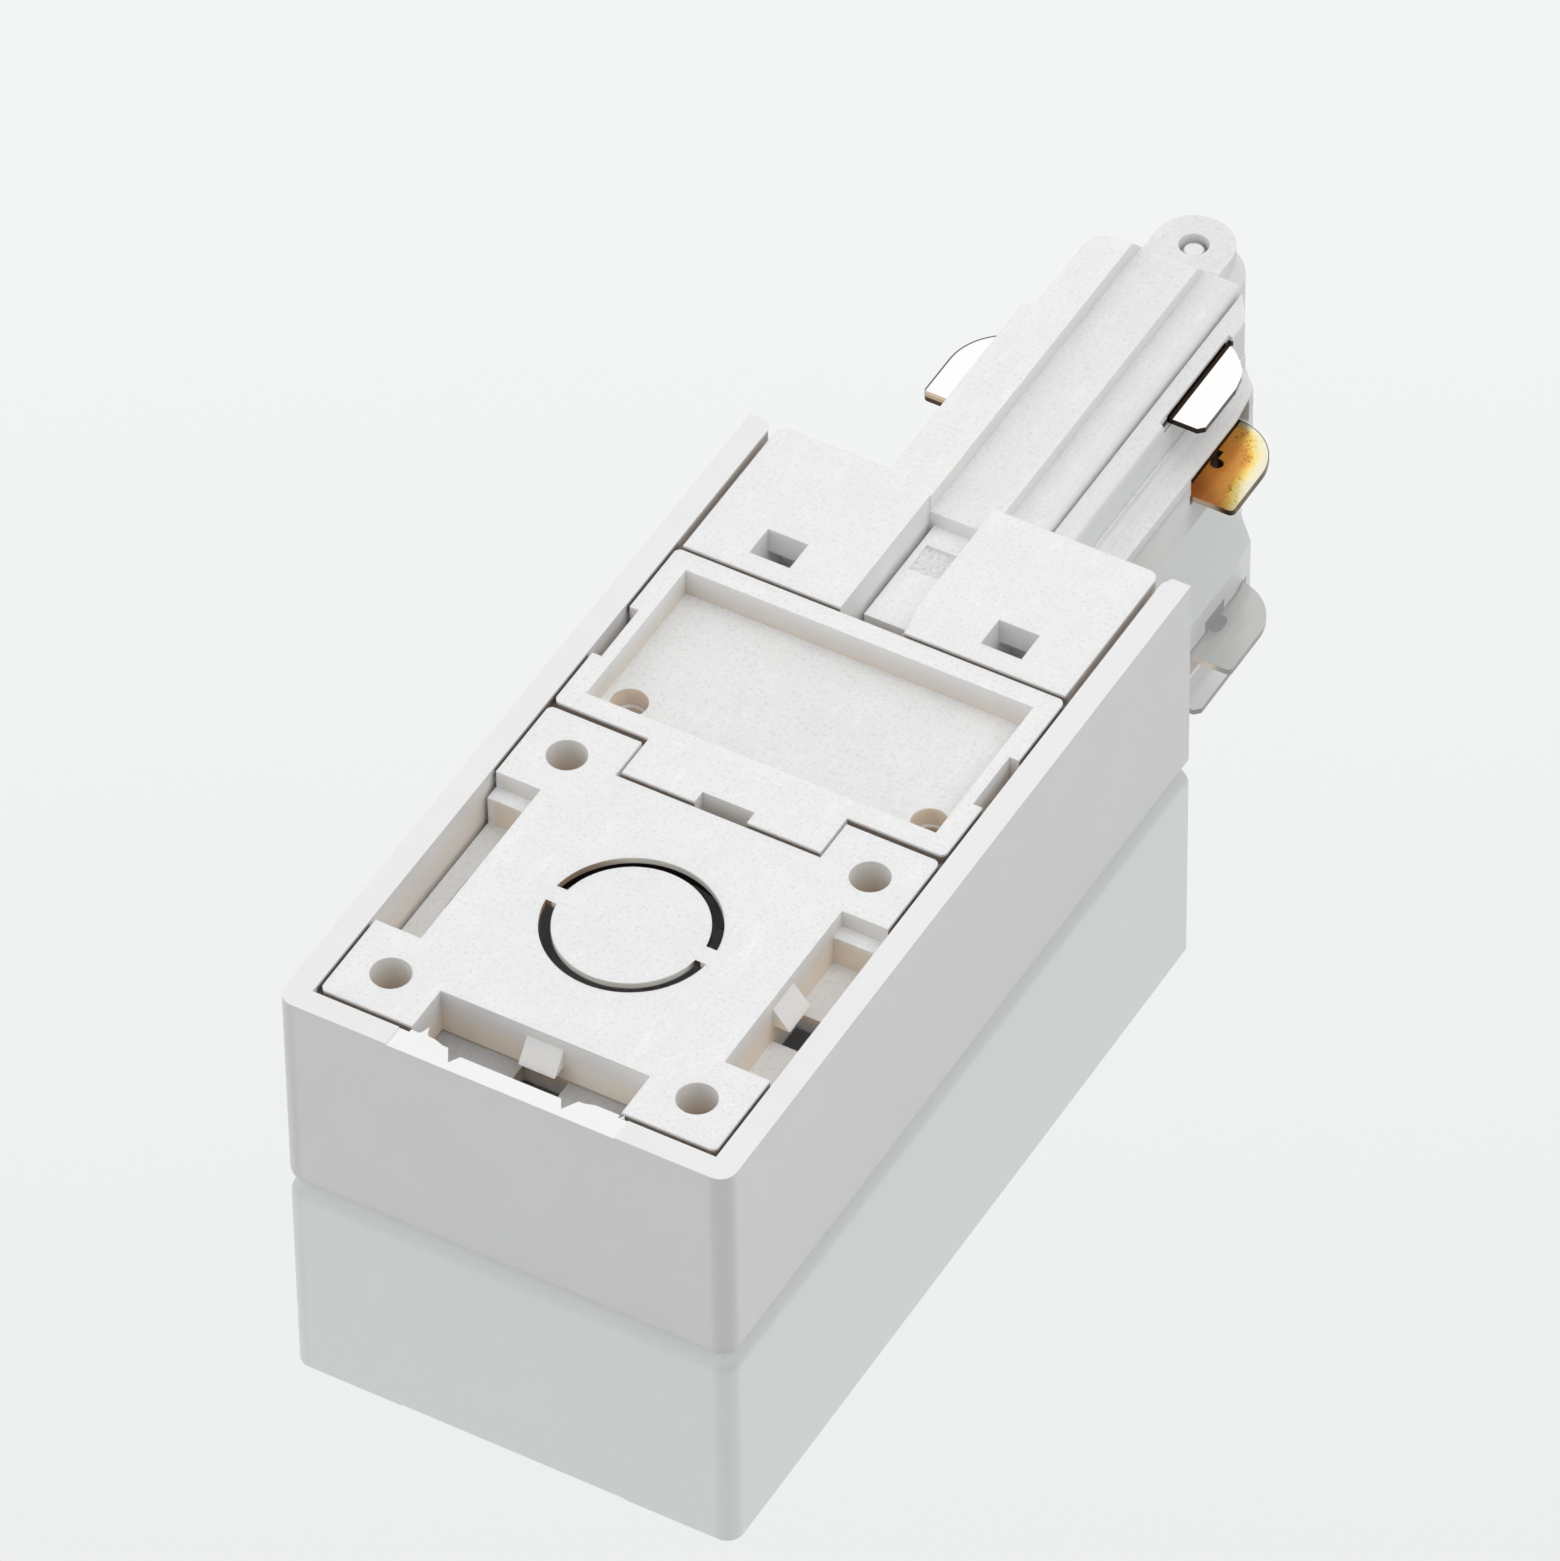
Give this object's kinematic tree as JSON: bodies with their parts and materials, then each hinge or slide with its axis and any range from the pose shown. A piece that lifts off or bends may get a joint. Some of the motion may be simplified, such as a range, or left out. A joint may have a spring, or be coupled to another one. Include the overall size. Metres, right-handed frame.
{
  "type": "track light power feed",
  "caption": "Mains feed for lighting track: an open-backed box casing with a base plate and terminal lid, and a stepped tongue with side contact blades and an eye at its tip.",
  "frame": {"origin": "centre of the bounding box's base: on the casing's plain face, below the middle of the overall length", "axes": "+Y along the track from the casing's closed end to the tongue's tip, +Z from the casing's plain face to its open back, +X to the earth and neutral side"},
  "size_m": [0.036, 0.1035, 0.0185],
  "materials": {
    "casing_plastic": "satin off-white, smooth",
    "moulding_plastic": "satin off-white, finely speckled",
    "contact_silver": "plated, smooth",
    "contact_brass": "bare sheet, smooth",
    "screw_steel": "zinc plated"
  },
  "bodies": {
    "shell": {"casing": "casing_plastic", "cord_clamp": "moulding_plastic"},
    "carrier": {"carrier_top": "moulding_plastic", "carrier_mid": "moulding_plastic", "carrier_bottom": "moulding_plastic", "live_bar": "contact_brass", "neutral_bar": "contact_brass", "earth_bar": "contact_brass", "live_clamp": "contact_brass", "neutral_clamp": "contact_brass", "earth_clamp": "contact_brass", "locking_nut": "screw_steel"},
    "plate": {"base_plate": "moulding_plastic"},
    "lid": {"terminal_lid": "moulding_plastic"},
    "live_contact": {"live_blade": "contact_silver"},
    "earth_contact": {"earth_blade": "contact_brass"},
    "neutral_contact": {"neutral_blade": "contact_silver"},
    "live_terminal": {"live_screw": "screw_steel"},
    "earth_terminal": {"earth_screw": "screw_steel"},
    "neutral_terminal": {"neutral_screw": "screw_steel"},
    "track_lock": {"locking_screw": "screw_steel"},
    "cord_fixing_left": {"cord_screw_left": "screw_steel"},
    "cord_fixing_right": {"cord_screw_right": "screw_steel"}
  },
  "joints": [
    {"name": "carrier_lift", "type": "slide", "parent": "shell", "child": "carrier", "axis": [0, 0, 1], "range_m": [0, 0.025]},
    {"name": "plate_lift", "type": "slide", "parent": "shell", "child": "plate", "axis": [0, 0, 1], "range_m": [0, 0.025]},
    {"name": "lid_lift", "type": "slide", "parent": "carrier", "child": "lid", "axis": [0, 0, 1], "range_m": [0, 0.02]},
    {"name": "live_press", "type": "slide", "parent": "carrier", "child": "live_contact", "axis": [1, 0, 0], "range_m": [0, 0.0008], "stiffness_N_per_m": 1500, "springref_m": -0.0005},
    {"name": "earth_press", "type": "slide", "parent": "carrier", "child": "earth_contact", "axis": [-1, 0, 0], "range_m": [0, 0.0008], "stiffness_N_per_m": 1500, "springref_m": -0.0005},
    {"name": "neutral_press", "type": "slide", "parent": "carrier", "child": "neutral_contact", "axis": [-1, 0, 0], "range_m": [0, 0.00045], "stiffness_N_per_m": 1500, "springref_m": -0.0005},
    {"name": "live_screw_turn", "type": "hinge", "parent": "carrier", "child": "live_terminal", "pos_m": [-0.0071, -0.00525, 0.012], "axis": [0, 0, 1], "continuous": true},
    {"name": "earth_screw_turn", "type": "hinge", "parent": "carrier", "child": "earth_terminal", "pos_m": [0, -0.00525, 0.012], "axis": [0, 0, 1], "continuous": true},
    {"name": "neutral_screw_turn", "type": "hinge", "parent": "carrier", "child": "neutral_terminal", "pos_m": [0.0071, -0.00525, 0.012], "axis": [0, 0, 1], "continuous": true},
    {"name": "locking_screw_turn", "type": "hinge", "parent": "carrier", "child": "track_lock", "pos_m": [0, 0.04795, 0.006], "axis": [0, 0, 1], "continuous": true},
    {"name": "cord_screw_left_turn", "type": "hinge", "parent": "shell", "child": "cord_fixing_left", "pos_m": [-0.007, -0.04025, 0.0125], "axis": [0, 0, 1], "continuous": true},
    {"name": "cord_screw_right_turn", "type": "hinge", "parent": "shell", "child": "cord_fixing_right", "pos_m": [0.007, -0.04025, 0.0125], "axis": [0, 0, 1], "continuous": true}
  ]
}
